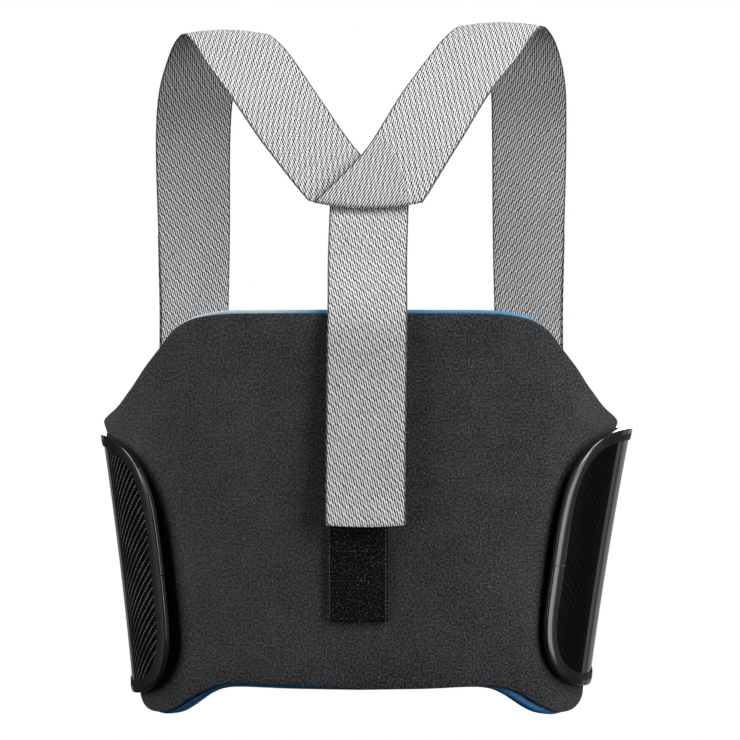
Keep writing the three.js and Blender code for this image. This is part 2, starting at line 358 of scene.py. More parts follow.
class Graph:
    """Short way to put nodes in one tree."""

    def __init__(self, tree: bpy.types.NodeTree) -> None:
        """Keeps the tree that the nodes go in."""
        self.tree = tree

    def give(self, node: Node, values: dict) -> None:
        """Feeds a node's inputs.

        Args:
            node: the node.
            values: a socket to link or a plain value for each input, by number or by name.
        """
        for key, value in values.items():
            if isinstance(value, Socket):
                self.tree.links.new(value, node.inputs[key])
            else:
                node.inputs[key].default_value = value

    def put(self, kind: str, values: dict | None = None, **settings: object) -> Node:
        """Adds a node.

        Args:
            kind: type of the node, without its prefix.
            values: what its inputs get.
            settings: properties of the node.

        Returns:
            The new node.
        """
        node = self.tree.nodes.new("ShaderNode" + kind)
        for key, setting in settings.items():
            setattr(node, key, setting)
        self.give(node, values or {})
        return node

    def use(self, effect: type["Effect"], **values: object) -> dict[str, Socket]:
        """Places an effect's node group.

        Args:
            effect: the effect.
            values: its inputs, by name.

        Returns:
            Its outputs, by name.
        """
        node = self.put("Group", node_tree=effect.group())
        self.give(node, values)
        return dict(node.outputs.items())

    def math(self, operation: str, *values: object, clamp: bool = False) -> Socket:
        """Adds a sum on numbers, kept from 0 to 1 if clamp is set."""
        node = self.put("Math", dict(enumerate(values)), operation=operation, use_clamp=clamp)
        return node.outputs[0]

    def times(self, first: object, second: object) -> Socket:
        """Adds a product."""
        return self.math("MULTIPLY", first, second)

    def plus(self, first: object, second: object) -> Socket:
        """Adds a sum of two numbers."""
        return self.math("ADD", first, second)

    def minus(self, first: object, second: object) -> Socket:
        """Adds a difference."""
        return self.math("SUBTRACT", first, second)

    def line(self, value: object, slope: object, start: object) -> Socket:
        """Adds a value times a slope, plus a start."""
        return self.math("MULTIPLY_ADD", value, slope, start)

    def wave(self, value: object, rate: float) -> Socket:
        """Adds a sine of a value times a rate."""
        return self.math("SINE", self.times(value, rate))

    def vector(self, operation: str, *values: object) -> Node:
        """Adds a sum on vectors."""
        return self.put("VectorMath", dict(enumerate(values)), operation=operation)

    def split(self, vector: Socket) -> tuple[Socket, ...]:
        """Adds the three parts of a vector."""
        return tuple(self.put("SeparateXYZ", {0: vector}).outputs)

    def join(self, x: object, y: object, z: object = 0.0) -> Socket:
        """Adds a vector of three parts."""
        return self.put("CombineXYZ", {0: x, 1: y, 2: z}).outputs[0]

    def ease(
        self, value: Socket, low: object, high: object, start: float = 0.0, end: float = 1.0
    ) -> Socket:
        """Adds a smooth step.

        Args:
            value: number that is looked at.
            low: where the step starts.
            high: where it ends.
            start: result up to low.
            end: result from high on.

        Returns:
            The result's socket.
        """
        values = {"Value": value, "From Min": low, "From Max": high, "To Min": start, "To Max": end}
        return self.put("MapRange", values, interpolation_type="SMOOTHSTEP").outputs[0]

    def mix(self, share: object, first: object, second: object) -> Socket:
        """Adds a mix of two numbers."""
        return self.put("Mix", {0: share, 2: first, 3: second}).outputs[0]

    def blend(self, share: object, first: object, second: object) -> Socket:
        """Adds a mix of two colours.

        Args:
            share: how much of the second colour there is.
            first: first colour or socket.
            second: second colour or socket.

        Returns:
            The mixed colour's socket.
        """
        values = {0: share, 6: opaque(first), 7: opaque(second)}
        return self.put("Mix", values, data_type="RGBA").outputs[2]

    def noise(self, vector: Socket, scale: object, detail: float = 2.0, rough: float = 0.5) -> Socket:
        """Adds a cloudy noise.

        Args:
            vector: place that it is read at.
            scale: waves for each unit of the place.
            detail: number of finer layers.
            rough: strength of the finer layers.

        Returns:
            The noise, from 0 to 1.
        """
        values = {"Vector": vector, "Scale": scale, "Detail": detail, "Roughness": rough}
        return self.put("TexNoise", values).outputs[0]


def opaque(colour: object) -> object:
    """Colour with its alpha, or a socket as it is."""
    return colour if isinstance(colour, Socket) else (*colour, 1.0)


class Effect:
    """Node group that more than one finish uses, built once."""

    name = ""
    inputs: dict[str, tuple[str, float | None]] = {}
    outputs: tuple[str, ...] = ()
    _made: dict[str, bpy.types.NodeTree] = {}

    @classmethod
    def group(cls) -> bpy.types.NodeTree:
        """Gives the group, made on the first call.

        Returns:
            The group's tree.
        """
        if cls.name not in cls._made:
            tree = bpy.data.node_groups.new(cls.name, "ShaderNodeTree")
            for label, (kind, start) in cls.inputs.items():
                kind = "NodeSocket" + kind
                socket = tree.interface.new_socket(label, in_out="INPUT", socket_type=kind)
                if start is not None:
                    socket.default_value = start
            for label in cls.outputs:
                tree.interface.new_socket(label, in_out="OUTPUT", socket_type="NodeSocketFloat")
            sources = tree.nodes.new("NodeGroupInput")
            results = tree.nodes.new("NodeGroupOutput")
            made = cls.wire(Graph(tree), dict(sources.outputs.items()))
            for label, socket in made.items():
                tree.links.new(socket, results.inputs[label])
            cls._made[cls.name] = tree
        return cls._made[cls.name]

    @classmethod
    def wire(cls, graph: Graph, given: dict[str, Socket]) -> dict[str, Socket]:
        """Lays out the group's nodes.

        Args:
            graph: the group's tree.
            given: its inputs.

        Returns:
            A socket for each output.
        """
        raise NotImplementedError


class KnitEffect(Effect):
    """Fine knitted face: short loops in columns, with uneven yarn. Sizes are in pitches."""

    name = "fine knit"
    inputs = {"Place": ("Vector", None), "Pitch": ("Float", 0.9), "Uneven": ("Float", 0.5)}
    outputs = ("Loops", "Yarn", "Height")
    wander_rate = 0.35
    yarn_rate = 0.62
    slant = 0.7
    course = 0.8
    course_depth = 0.3

    @classmethod
    def wire(cls, graph: Graph, given: dict[str, Socket]) -> dict[str, Socket]:
        """Lays out the knit."""
        pitch = graph.join(given["Pitch"], given["Pitch"], given["Pitch"])
        scaled = graph.vector("DIVIDE", given["Place"], pitch).outputs[0]
        wander = graph.noise(scaled, cls.wander_rate, 2.0)
        x, y, _ = graph.split(scaled)
        column = graph.plus(x, graph.times(wander, given["Uneven"]))
        wale = graph.math("ABSOLUTE", graph.wave(column, math.pi))
        course = graph.wave(graph.line(wale, cls.slant, y), 2 * math.pi / cls.course)
        loops = graph.times(wale, graph.line(course, cls.course_depth, 1 - cls.course_depth))
        yarn = graph.noise(scaled, cls.yarn_rate, 3.0, 0.75)
        return {"Loops": loops, "Yarn": yarn, "Height": graph.line(yarn, 0.8, loops)}


class FleckEffect(Effect):
    """Sparse small flecks such as lint, pills and dust."""

    name = "flecks"
    inputs = {"Place": ("Vector", None), "Spacing": ("Float", 4.0), "Size": ("Float", 0.12)}
    outputs = ("Fleck",)
    bare_share = 0.55

    @classmethod
    def wire(cls, graph: Graph, given: dict[str, Socket]) -> dict[str, Socket]:
        """Lays out the flecks."""
        scale = graph.math("DIVIDE", 1.0, given["Spacing"])
        cells = graph.put("TexVoronoi", {"Vector": given["Place"], "Scale": scale}).outputs
        near = graph.math("LESS_THAN", cells["Distance"], given["Size"])
        chance = graph.put("SeparateColor", {0: cells["Color"]}).outputs[0]
        rare = graph.math("GREATER_THAN", chance, cls.bare_share)
        return {"Fleck": graph.times(near, rare)}


class ShadeEffect(Effect):
    """Slow change of tone over a surface, as from handling and uneven dye."""

    name = "uneven tone"
    inputs = {"Place": ("Vector", None), "Spacing": ("Float", 40.0)}
    outputs = ("Tone",)

    @classmethod
    def wire(cls, graph: Graph, given: dict[str, Socket]) -> dict[str, Socket]:
        """Lays out the tone."""
        scale = graph.math("DIVIDE", 1.0, given["Spacing"])
        return {"Tone": graph.ease(graph.noise(given["Place"], scale, 3.0), 0.3, 0.7)}


class FloatWeaveEffect(Effect):
    """Light floats over dark ground yarn, from three families of lines with a pitch and a lean."""

    name = "float weave"
    inputs = {
        "Place": ("Vector", None),
        "Hand": ("Float", 1.0),
        "Strength": ("Vector", None),
        "Low": ("Float", 0.1),
        "High": ("Float", 0.6),
    }
    outputs = ("Light", "Height")
    waves = ((1.41, 12.0), (2.46, 52.0), (3.52, 34.0))
    grain = 0.75
    unevenness = 0.6

    @classmethod
    def wire(cls, graph: Graph, given: dict[str, Socket]) -> dict[str, Socket]:
        """Lays out the three families of lines, each with its strength."""
        hand = graph.join(given["Hand"], 1.0)
        place = graph.vector("MULTIPLY", given["Place"], hand).outputs[0]
        total: object = 0.5
        for (pitch, lean), strength in zip(cls.waves, graph.split(given["Strength"])):
            angle, rate = math.radians(lean), 2 * math.pi / pitch
            step = (rate * math.cos(angle), rate * math.sin(angle), 0.0)
            phase = graph.vector("DOT_PRODUCT", place, step).outputs["Value"]
            total = graph.line(graph.math("COSINE", phase), strength, total)
        uneven = graph.minus(graph.noise(given["Place"], cls.grain, 1.0), 0.5)
        total = graph.line(uneven, cls.unevenness, total)
        return {"Light": graph.ease(total, given["Low"], given["High"]), "Height": total}


class TwillEffect(Effect):
    """Two-by-two twill of flat tows."""

    name = "tow twill"
    inputs = {"Place": ("Vector", None), "Tow": ("Float", 2.0)}
    outputs = ("Over", "Across", "Along", "Height")
    repeat = 4.0
    over_end = 1.5
    dip = 0.6

    @classmethod
    def wire(cls, graph: Graph, given: dict[str, Socket]) -> dict[str, Socket]:
        """Lays out the tows: over is 1 where the upright tow is on top."""
        size = graph.join(given["Tow"], given["Tow"], 1.0)
        x, y, _ = graph.split(graph.vector("DIVIDE", given["Place"], size).outputs[0])
        column, row = graph.math("FLOOR", x), graph.math("FLOOR", y)
        turn = graph.math("FLOORED_MODULO", graph.plus(column, row), cls.repeat)
        over = graph.math("LESS_THAN", turn, cls.over_end)
        up_crown, side_crown = (graph.wave(graph.math("FRACT", part), math.pi) for part in (x, y))
        up_run = graph.math("FLOORED_MODULO", graph.plus(y, column), cls.repeat)
        side_run = graph.math("FLOORED_MODULO", graph.plus(x, row), cls.repeat)
        up_dip = graph.wave(up_run, math.pi / 2)
        side_dip = graph.math("ABSOLUTE", graph.wave(side_run, math.pi / 2))
        up = graph.times(up_crown, graph.line(up_dip, cls.dip, 1 - cls.dip))
        across = graph.times(side_crown, graph.line(side_dip, cls.dip, 1 - cls.dip))
        under = graph.times(graph.minus(1.0, over), across)
        height = graph.line(over, up, under)
        return {"Over": over, "Across": up_crown, "Along": up_dip, "Height": height}


# Finishes


@dataclass(frozen=True)
class Finish:
    """Finish of one kind of piece, made as one material."""

    name: str
    roughness: float = 0.8

    def material(self) -> bpy.types.Material:
        """Gives the material, made on the first call.

        Returns:
            The material.
        """
        found = bpy.data.materials.get(self.name)
        if found:
            return found
        made = bpy.data.materials.new(self.name)
        made.use_nodes = True
        made.node_tree.nodes.clear()
        graph = Graph(made.node_tree)
        shader = graph.put("BsdfPrincipled", {"Roughness": self.roughness})
        graph.give(shader, self.dress(graph, self.flat(graph)))
        graph.put("OutputMaterial", {"Surface": shader.outputs[0]})
        return made

    def dress(self, graph: Graph, flat: Socket) -> dict[str, object]:
        """Lays out what feeds the shader.

        Args:
            graph: the material's tree.
            flat: place on the piece's flat cut, in millimetres.

        Returns:
            A socket or a plain value for each of the shader's inputs that is set.
        """
        raise NotImplementedError

    @staticmethod
    def flat(graph: Graph) -> Socket:
        """Place on the piece's flat cut, in millimetres."""
        return graph.put("Attribute", attribute_name=FLAT).outputs["Vector"]

    @staticmethod
    def tone(graph: Graph, flat: Socket, spacing: float) -> Socket:
        """Slow change of tone, at a spacing in millimetres."""
        return graph.use(ShadeEffect, Place=flat, Spacing=spacing)["Tone"]

    @staticmethod
    def relief(graph: Graph, height: Socket, depth: float, strength: float) -> Socket:
        """Adds a relief.

        Args:
            graph: the material's tree.
            height: height of the relief, about 0 to 1.
            depth: depth of one unit, in millimetres.
            strength: share of the relief that shows.

        Returns:
            The normal's socket.
        """
        values = {"Strength": strength, "Distance": depth * MM, "Height": height}
        return graph.put("Bump", values).outputs[0]

    def worn(self, graph: Graph, value: Socket, span: Span, start: float, end: float) -> Socket:
        """Adds an uneven roughness.

        Args:
            graph: the material's tree.
            value: number that it follows.
            span: values between which it changes.
            start: what is added to the finish's roughness before the span.
            end: what is added after it.

        Returns:
            The roughness.
        """
        return graph.ease(value, *span, self.roughness + start, self.roughness + end)


@dataclass(frozen=True)
class KnitFinish(Finish):
    """Matte knit with pale yarn ends, darker at the hem, with painted light that makes it paler
    towards the left side.
    """

    dark: Colour = (0.003, 0.003, 0.004)
    pale: Colour = (0.11, 0.111, 0.12)
    fleck: Colour = (0.2, 0.2, 0.2)
    pitch: float = 0.9
    grain: float = 1.3
    grain_span: Span = (0.38, 0.68)
    # Painted light: share added to make the knit paler towards the left side.
    fade: float = 0.07
    fade_span: Span = (60.0, -110.0)
    hem_fade: float = 0.12
    hem_span: Span = (30.0, -12.0)

    def dress(self, graph: Graph, flat: Socket) -> dict[str, object]:
        """Lays out the knit."""
        knit = graph.use(KnitEffect, Place=flat, Pitch=self.pitch)
        tone = self.tone(graph, flat, 45.0)
        fleck = graph.use(FleckEffect, Place=flat, Spacing=6.0, Size=0.07)["Fleck"]
        grain = graph.ease(graph.noise(flat, 1 / self.grain, 3.0, 0.7), *self.grain_span)
        cloud = self.tone(graph, flat, 13.0)
        share = graph.line(knit["Loops"], 0.25, graph.times(grain, 0.72))
        share = graph.line(tone, 0.08, share)
        share = graph.line(cloud, 0.07, graph.minus(share, 0.06))
        around, height, _ = graph.split(flat)
        # Painted light: paler towards the left side.
        share = graph.plus(share, graph.ease(around, *self.fade_span, 0.0, self.fade))
        hem = graph.ease(height, *self.hem_span, 0.0, self.hem_fade)
        share = graph.math("SUBTRACT", share, hem, clamp=True)
        colour = graph.blend(share, self.dark, self.pale)
        return {
            "Base Color": graph.blend(fleck, colour, self.fleck),
            "Roughness": self.worn(graph, knit["Yarn"], (0.2, 0.8), -0.1, 0.1),
            "Normal": self.relief(graph, knit["Height"], 0.22, 0.6),
            "Sheen Weight": 0.03,
            "Sheen Roughness": 0.45,
            "Specular IOR Level": 0.12,
        }


@dataclass(frozen=True)
class FoamFinish(Finish):
    """Closed-cell foam with open cells at the cut edge, with a painted highlight on its top rim that
    is whiter towards the left side.
    """

    deep: Colour = (0.0, 0.052, 0.16)
    bright: Colour = (0.011, 0.17, 0.4)
    # Painted highlight: pale colour of the top rim, where light catches the foam's edge.
    rim: Colour = (0.16, 0.53, 0.82)
    rim_share: float = 0.42
    rim_span: Span = (222.0, 232.0)
    # Painted highlight: whitish colour on the top rim towards the left side.
    chalk: Colour = (0.52, 0.6, 0.64)
    chalk_span: Span = (-20.0, -60.0)
    cell: float = 0.9

    def dress(self, graph: Graph, flat: Socket) -> dict[str, object]:
        """Lays out the foam."""
        around, height, _ = graph.split(flat)
        cells = graph.put("TexVoronoi", {"Vector": flat, "Scale": 1 / self.cell})
        tone = self.tone(graph, flat, 18.0)
        wall = graph.ease(cells.outputs["Distance"], 0.1, 0.7)
        share = graph.line(tone, 0.3, graph.times(wall, 0.7))
        colour = graph.blend(share, self.deep, self.bright)
        # Painted highlight along the top rim.
        top = graph.ease(height, *self.rim_span)
        colour = graph.blend(graph.times(top, self.rim_share), colour, self.rim)
        # Painted highlight: whiter on the top rim towards the left side.
        left_rim_highlight_share = graph.times(graph.ease(around, *self.chalk_span), top)
        left_rim_highlight_share = graph.times(left_rim_highlight_share, graph.line(share, 0.4, 0.6))
        return {
            "Base Color": graph.blend(left_rim_highlight_share, colour, self.chalk),
            "Roughness": self.worn(graph, wall, (0.0, 1.0), -0.12, 0.0),
            "Normal": self.relief(graph, wall, 0.25, 0.5),
            "Specular IOR Level": 0.4,
        }


@dataclass(frozen=True)
class CarbonFinish(Finish):
    """Twill of carbon tows under a clear gloss coat, with glints painted on the upright tows that are
    brightest towards the back edge.
    """

    # Painted glint: pale colour of the upright tows where they catch the light; across is the tows'
    # own black.
    along: Colour = (0.55, 0.48, 0.43)
    across: Colour = (0.001, 0.0009, 0.0008)
    tow: float = 1.3
    bead_across: Span = (0.4, 0.9)
    bead_along: Span = (0.88, 1.0)
    glint: Span = (-10.0, -70.0)
    least: float = 0.08

    def dress(self, graph: Graph, flat: Socket) -> dict[str, object]:
        """Lays out the tows and the coat."""
        twill = graph.use(TwillEffect, Place=flat, Tow=self.tow)
        tone = self.tone(graph, flat, 22.0)
        around = graph.split(flat)[0]
        # Painted glints: pale beads on the upright tows, strongest towards the back edge.
        across = graph.ease(twill["Across"], *self.bead_across)
        painted_glint = graph.times(across, graph.ease(twill["Along"], *self.bead_along))
        share = graph.times(twill["Over"], painted_glint)
        share = graph.times(share, graph.line(tone, 0.6, 0.4))
        share = graph.times(share, graph.ease(around, *self.glint, self.least, 1.0))
        return {
            "Base Color": graph.blend(share, self.across, self.along),
            "Roughness": self.worn(graph, share, (0.0, 1.0), 0.15, 0.0),
            "Normal": self.relief(graph, twill["Height"], 0.12, 0.5),
            "Coat Weight": 1.0,
            "Coat Roughness": 0.04,
            "Specular IOR Level": 0.04,
        }


@dataclass(frozen=True)
class RubberFinish(Finish):
    """Extruded rubber with faint draw lines and scuffs, polished along its outer rim."""

    black: Colour = (0.006, 0.006, 0.0065)
    scuff: Colour = (0.022, 0.022, 0.023)
    fleck: Colour = (0.07, 0.07, 0.07)
    draw_rates: Colour = (0.03, 1.6, 1.6)
    rim: Span = (-8.3, -5.5)

    def dress(self, graph: Graph, flat: Socket) -> dict[str, object]:
        """Lays out the draw lines."""
        drawn = graph.vector("MULTIPLY", flat, self.draw_rates).outputs[0]
        lines = graph.noise(drawn, 1.0, 2.0)
        tone = self.tone(graph, flat, 9.0)
        fleck = graph.use(FleckEffect, Place=flat, Spacing=7.0, Size=0.05)["Fleck"]
        share = graph.times(lines, graph.line(tone, 0.6, 0.1))
        colour = graph.blend(share, self.black, self.scuff)
        return {
            "Base Color": graph.blend(fleck, colour, self.fleck),
            "Roughness": self.worn(graph, lines, (0.25, 0.75), -0.06, 0.1),
            "Normal": self.relief(graph, lines, 0.08, 0.5),
            "Coat Weight": graph.ease(graph.split(flat)[1], *self.rim),
            "Coat Roughness": 0.12,
            "Coat IOR": 1.6,
            "Specular IOR Level": 0.2,
        }


@dataclass(frozen=True)
class WebbingFinish(Finish):
    """Elastic webbing: light floats over black ground, darker along both edges from a dark edge band
    and painted edge shade.
    """

    ground: Colour = (0.013, 0.013, 0.013)
    floats: Colour = (0.86, 0.85, 0.84)
    hand: float = 1.0
    selvage: Span = (23.6, 24.4)
    low: float = 0.23
    high: float = 0.57
    strength: Colour = (0.44, 0.23, 0.19)

    def shade(self, graph: Graph) -> object:
        """Colour of the light floats."""
        return self.floats

    def weave(self, graph: Graph, flat: Socket) -> tuple[Socket, Socket]:
        """Lays out the weave.

        Args:
            graph: the material's tree.
            flat: place on the flat strip.

        Returns:
            The share of light floats and the height of the weave.
        """
        values = {"Hand": self.hand, "Strength": self.strength, "Low": self.low, "High": self.high}
        made = graph.use(FloatWeaveEffect, Place=flat, **values)
        return made["Light"], made["Height"]

    def dress(self, graph: Graph, flat: Socket) -> dict[str, object]:
        """Lays out the weave and the darkened edges."""
        light, height = self.weave(graph, flat)
        across = graph.math("ABSOLUTE", graph.split(flat)[0])
        # Dark edges: partly the webbing's own edge band, partly painted shade where the strip's side
        # turns from the light.
        selvage = graph.ease(across, *self.selvage)
        yarn = graph.noise(flat, 1.7, 2.0)
        light = graph.times(light, graph.ease(yarn, 0.2, 0.6, 0.8, 1.0))
        light = graph.times(light, graph.line(selvage, -0.8, 1.0))
        return {
            "Base Color": graph.blend(light, self.ground, self.shade(graph)),
            "Roughness": self.worn(graph, yarn, (0.2, 0.8), -0.08, 0.08),
            "Normal": self.relief(graph, height, 0.3, 0.6),
            "Sheen Weight": 0.03,
            "Specular IOR Level": 0.15,
        }


@dataclass(frozen=True)
class FoldedWebbingFinish(WebbingFinish):
    """Webbing of the shoulder strip: more ground in front, and the turned part of the fold."""

    front: Span = (4.0, 30.0)
    front_low: float = 0.41
    front_high: float = 0.53
    front_strength: Colour = (0.5, 0.24, 0.22)
    # Painted light: whiter floats on the strip's front part, whose visible face gets little light.
    front_floats: Colour = (0.985, 0.985, 1.0)
    front_stretch: float = 0.095
    front_shear: float = 0.25
    turned_strength: Colour = (0.5, 0.16, 0.17)
    turned_angle: float = 44.5
    turned_low: float = 0.28
    turned_high: float = 0.6
    turned_foot: Span = (29.9, 309.4)
    turned_lean: float = 0.25
    turned_bend: float = 0.0186
    turned_bend_start: float = 20.0
    turned_blur: float = 1.2
    turned_top: Span = (351.0, 348.0)

    @staticmethod
    def place(graph: Graph) -> tuple[Socket, ...]:
        """Place on the object, in millimetres."""
        values = {0: graph.put("TexCoord").outputs["Object"], "Scale": 1 / MM}
        return graph.split(graph.put("VectorMath", values, operation="SCALE").outputs[0])

    def shade(self, graph: Graph) -> object:
        """Colour of the light floats, painted lighter in front, where the strip's visible face gets
        little light.
        """
        front = graph.ease(self.place(graph)[1], *self.front)
        return graph.blend(front, self.floats, self.front_floats)

    def turned(self, graph: Graph, place: tuple[Socket, ...], face: Socket) -> Socket:
        """Marks the part of the fold where the strip is turned over.

        Args:
            graph: the material's tree.
            place: place on the object.
            face: place through the strip.

        Returns:
            A mask, which is 1 on the turned part.
        """
        x, y, z = place
        foot, base = self.turned_foot
        rise = graph.minus(z, base)
        above = graph.math("MAXIMUM", graph.minus(rise, self.turned_bend_start), 0.0)
        bend = graph.math("POWER", above, 2.0)
        edge = graph.line(rise, -self.turned_lean, foot)
        edge = graph.line(bend, -self.turned_bend, edge)
        mask = graph.ease(graph.minus(edge, x), -self.turned_blur, self.turned_blur)
        mask = graph.times(mask, graph.ease(z, *self.turned_top))
        under = graph.math("LESS_THAN", face, 0.0)
        return graph.times(mask, graph.times(under, graph.math("LESS_THAN", y, 0.0)))

    def weave(self, graph: Graph, flat: Socket) -> tuple[Socket, Socket]:
        """Lays out the weave of the strip, as for plain webbing, and of the turned part."""
        place = self.place(graph)
        x, y, z = place
        front = graph.ease(y, *self.front)
        low = graph.line(front, self.front_low - self.low, self.low)
        high = graph.line(front, self.front_high - self.high, self.high)
        values = {0: front, 4: self.strength, 5: self.front_strength}
        strength = graph.put("Mix", values, data_type="VECTOR").outputs[1]
        across, along, face = graph.split(flat)
        slant = graph.times(front, across)
        wide = graph.join(
            graph.line(slant, -self.front_stretch, across), graph.line(slant, self.front_shear, along)
        )
        values = {"Hand": self.hand, "Strength": strength, "Low": low, "High": high}
        strip = graph.use(FloatWeaveEffect, Place=wide, **values)
        values = {"Vector": graph.join(x, z), "Angle": math.radians(self.turned_angle)}
        level = graph.put("VectorRotate", values, rotation_type="Z_AXIS").outputs[0]
        values = {"Strength": self.turned_strength, "Low": self.turned_low, "High": self.turned_high}
        turned = graph.use(FloatWeaveEffect, Place=level, Hand=self.hand, **values)
        mask = self.turned(graph, place, face)
        light, height = (graph.mix(mask, strip[key], turned[key]) for key in ("Light", "Height"))
        return light, height


@dataclass(frozen=True)
class LoopFinish(Finish):
    """Hook-and-loop tape: fuzzy loops, with stitched lines along it."""

    dark: Colour = (0.002, 0.002, 0.002)
    pale: Colour = (0.085, 0.082, 0.078)
    seam: Colour = (0.1, 0.098, 0.095)
    seams: Span = (-19.5, 15.9)
    stitch: float = 1.3

    def dress(self, graph: Graph, flat: Socket) -> dict[str, object]:
        """Lays out the loops and the stitches."""
        tangle = graph.noise(flat, 0.85, 3.0, 0.6)
        tips = graph.ease(tangle, 0.53, 0.66)
        tone = self.tone(graph, flat, 14.0)
        share = graph.times(tips, graph.line(tone, 0.6, 0.5))
        colour = graph.blend(share, self.dark, self.pale)
        across, along, _ = graph.split(flat)
        stitch = graph.ease(graph.wave(along, math.pi / self.stitch), -0.6, 0.6, 0.25, 0.8)
        for line in self.seams:
            off = graph.math("ABSOLUTE", graph.minus(across, line))
            colour = graph.blend(graph.times(stitch, graph.ease(off, 0.5, 0.2)), colour, self.seam)
        return {
            "Base Color": colour,
            "Roughness": self.worn(graph, tangle, (0.2, 0.8), -0.05, 0.05),
            "Normal": self.relief(graph, tangle, 0.9, 0.8),
            "Sheen Weight": 0.02,
            "Specular IOR Level": 0.1,
        }


COVER_KNIT = KnitFinish("cover_knit", 0.86)
LINING_KNIT = KnitFinish(
    "lining_knit", 0.9, dark=(0.004, 0.004, 0.005), pale=(0.03, 0.03, 0.032), pitch=1.2
)
BLUE_FOAM = FoamFinish("blue_foam", 0.5)
# Painted light: the left shell's copy has bright painted glints and the right shell's copy dim ones,
# standing in for the light on each side.
CARBON = {
    Side.LEFT: CarbonFinish("carbon_left", 0.32),
    Side.RIGHT: CarbonFinish("carbon_right", 0.32, along=(0.024, 0.018, 0.011), least=0.4),
}
RUBBER = RubberFinish("edging_rubber", 0.45)
WEBBING = FoldedWebbingFinish("webbing_floats", 0.88, floats=(0.9, 0.89, 0.88))
UPRIGHT_WEBBING = WebbingFinish(
    "webbing_upright", 0.88, floats=(0.92, 0.905, 0.9), hand=-1.0, low=0.25, high=0.54
)
LOOPS = LoopFinish("loop_tape", 0.95)


# The padded wrap


class OutlineRow(NamedTuple):
    """Row of the wrap's flat outline, at a hundredth share of the half girth from the back."""

    around: float
    top: float
    rim: float
    hem: float
    lip: float
    bare_left: float
    bare_right: float


